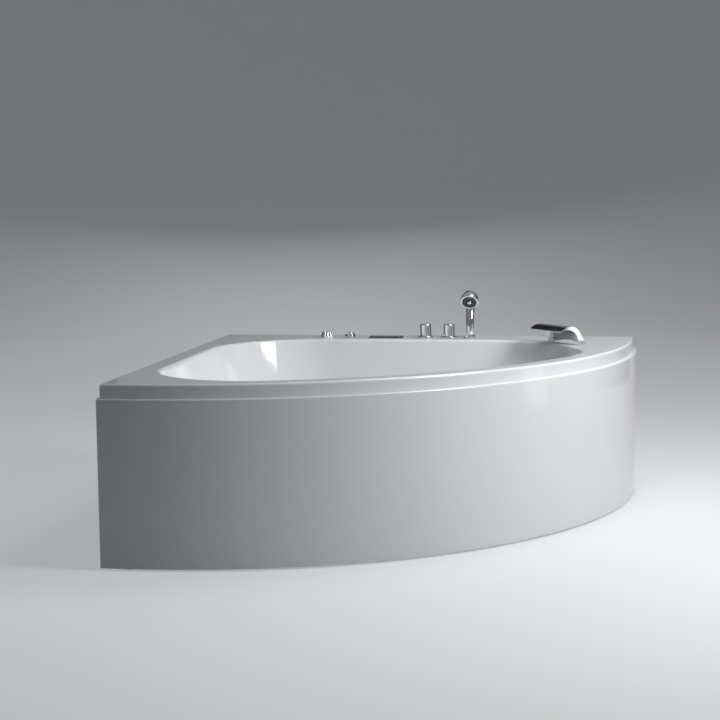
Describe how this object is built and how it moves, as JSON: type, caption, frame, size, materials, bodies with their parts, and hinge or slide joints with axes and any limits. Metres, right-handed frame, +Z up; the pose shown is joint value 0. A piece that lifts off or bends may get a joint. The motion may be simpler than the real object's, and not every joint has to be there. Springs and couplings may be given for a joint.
{
  "type": "corner bath with jets",
  "caption": "Quarter-round jetted corner bath with apron, frame, pump, waste with overflow, deck valves, waterfall spout and hand shower.",
  "frame": {"origin": "on the floor, in the middle of the square that the bath takes up", "axes": "+Z up, +Y to the wall behind the deck with the fittings, -X to the other wall, so that the round front faces +X -Y"},
  "size_m": [1.52, 1.52, 0.7112],
  "materials": {
    "acrylic": "polished white acrylic",
    "board": "raw board",
    "zinc_steel": "zinc plated",
    "foot_rubber": "matte",
    "chrome": "mirror chrome plate",
    "white_plastic": "moulded",
    "nozzle_plastic": "moulded",
    "seal_rubber": "matte",
    "pump_plastic": "moulded, dark",
    "motor_paint": "painted casting",
    "shaft_steel": "ground",
    "brass": "cast and turned",
    "panel_dark": "dark touch glass",
    "lead_sheath": "sheathed"
  },
  "bodies": {
    "bath": {"tub_shell": "acrylic", "front_apron": "acrylic", "base_board": "board", "frame_rails": "zinc_steel", "frame_posts": "zinc_steel", "apron_brackets": "zinc_steel", "apron_screws": "zinc_steel", "foot_studs": "zinc_steel", "foot_nuts": "zinc_steel", "pump_stand": "zinc_steel", "foot_pads": "foot_rubber", "drain_flange": "chrome", "overflow_rosette": "chrome", "jet_faces": "chrome", "valve_escutcheons": "chrome", "spout": "chrome", "handset_holder": "chrome", "shower_hose": "chrome", "jet_button_body": "chrome", "suction_cover": "chrome", "jet_bodies": "white_plastic", "drain_body": "white_plastic", "overflow_elbow": "white_plastic", "overflow_pipe": "white_plastic", "water_manifold": "white_plastic", "air_manifold": "white_plastic", "suction_fitting": "white_plastic", "suction_pipe": "white_plastic", "air_regulator_body": "white_plastic", "lock_nuts": "white_plastic", "gaskets": "seal_rubber", "air_hose": "seal_rubber", "pump_volute": "pump_plastic", "control_box": "pump_plastic", "motor_housing": "motor_paint", "mixer_valve": "brass", "diverter_valve": "brass", "spout_pipe": "brass", "control_panel": "panel_dark", "panel_cable": "lead_sheath", "motor_cable": "lead_sheath", "air_tube": "lead_sheath", "drain_cable": "lead_sheath"},
    "mixer_knob": {"mixer_knob": "chrome"},
    "diverter_knob": {"diverter_knob": "chrome"},
    "air_regulator_knob": {"air_regulator_knob": "chrome"},
    "jet_button": {"jet_button": "chrome"},
    "overflow_knob": {"overflow_knob": "chrome"},
    "drain_stopper": {"drain_stopper": "chrome"},
    "pump_rotor": {"pump_impeller": "pump_plastic", "motor_shaft": "shaft_steel"},
    "hose_cone": {"hose_cone": "chrome"},
    "handset": {"handset": "chrome", "spray_face": "nozzle_plastic"},
    "jet_nozzle_1": {"jet_nozzle_1": "nozzle_plastic"},
    "jet_nozzle_2": {"jet_nozzle_2": "nozzle_plastic"},
    "jet_nozzle_3": {"jet_nozzle_3": "nozzle_plastic"},
    "jet_nozzle_4": {"jet_nozzle_4": "nozzle_plastic"},
    "jet_nozzle_5": {"jet_nozzle_5": "nozzle_plastic"},
    "jet_nozzle_6": {"jet_nozzle_6": "nozzle_plastic"}
  },
  "joints": [
    {"name": "mixer_turn", "type": "hinge", "parent": "bath", "child": "mixer_knob", "pos_m": [0.007, 0.6695, 0.54], "axis": [0, 0, 1], "range_deg": [0, 120]},
    {"name": "diverter_turn", "type": "hinge", "parent": "bath", "child": "diverter_knob", "pos_m": [0.092, 0.6695, 0.54], "axis": [0, 0, 1], "range_deg": [0, 90]},
    {"name": "air_regulator_turn", "type": "hinge", "parent": "bath", "child": "air_regulator_knob", "pos_m": [-0.358, 0.6695, 0.54], "axis": [0, 0, 1], "range_deg": [0, 180]},
    {"name": "jet_button_press", "type": "slide", "parent": "bath", "child": "jet_button", "axis": [0, 0, -1], "range_m": [0, 0.005], "stiffness_N_per_m": 400, "springref_m": -0.002},
    {"name": "overflow_turn", "type": "hinge", "parent": "bath", "child": "overflow_knob", "pos_m": [0.26761, -0.26761, 0.45513], "axis": [-0.6854, 0.6854, 0.2458], "range_deg": [0, 75]},
    {"name": "stopper_lift", "type": "slide", "parent": "bath", "child": "drain_stopper", "axis": [0, 0, 1], "range_m": [0, 0.012]},
    {"name": "pump_spin", "type": "hinge", "parent": "bath", "child": "pump_rotor", "pos_m": [0.3505, 0.58214, 0.19755], "axis": [1, 0, 0], "continuous": true},
    {"name": "handset_lift", "type": "slide", "parent": "bath", "child": "hose_cone", "axis": [0, 0, 1], "range_m": [0, 0.3], "deforming": ["shower_hose"]},
    {"name": "handset_swivel", "type": "hinge", "parent": "hose_cone", "child": "handset", "pos_m": [0.168, 0.6695, 0.54], "axis": [0, 0, 1], "continuous": true},
    {"name": "nozzle_1_tilt", "type": "hinge", "parent": "bath", "child": "jet_nozzle_1", "pos_m": [-0.26, 0.54645, 0.33936], "axis": [1, 0, 0], "range_deg": [-15, 15]},
    {"name": "nozzle_2_tilt", "type": "hinge", "parent": "bath", "child": "jet_nozzle_2", "pos_m": [-0.14, 0.54645, 0.33936], "axis": [1, 0, 0], "range_deg": [-15, 15]},
    {"name": "nozzle_3_tilt", "type": "hinge", "parent": "bath", "child": "jet_nozzle_3", "pos_m": [-0.02, 0.54645, 0.33936], "axis": [1, 0, 0], "range_deg": [-15, 15]},
    {"name": "nozzle_4_tilt", "type": "hinge", "parent": "bath", "child": "jet_nozzle_4", "pos_m": [-0.64145, 0.155, 0.33936], "axis": [0, 1, 0], "range_deg": [-15, 15]},
    {"name": "nozzle_5_tilt", "type": "hinge", "parent": "bath", "child": "jet_nozzle_5", "pos_m": [-0.64145, -0.00507, 0.33936], "axis": [0, 1, 0], "range_deg": [-15, 15]},
    {"name": "nozzle_6_tilt", "type": "hinge", "parent": "bath", "child": "jet_nozzle_6", "pos_m": [-0.64145, -0.16514, 0.33936], "axis": [0, 1, 0], "range_deg": [-15, 15]}
  ],
  "couplings": [
    {"joint": "stopper_lift", "follows": "overflow_turn", "m_per_rad": 0.0091673}
  ]
}
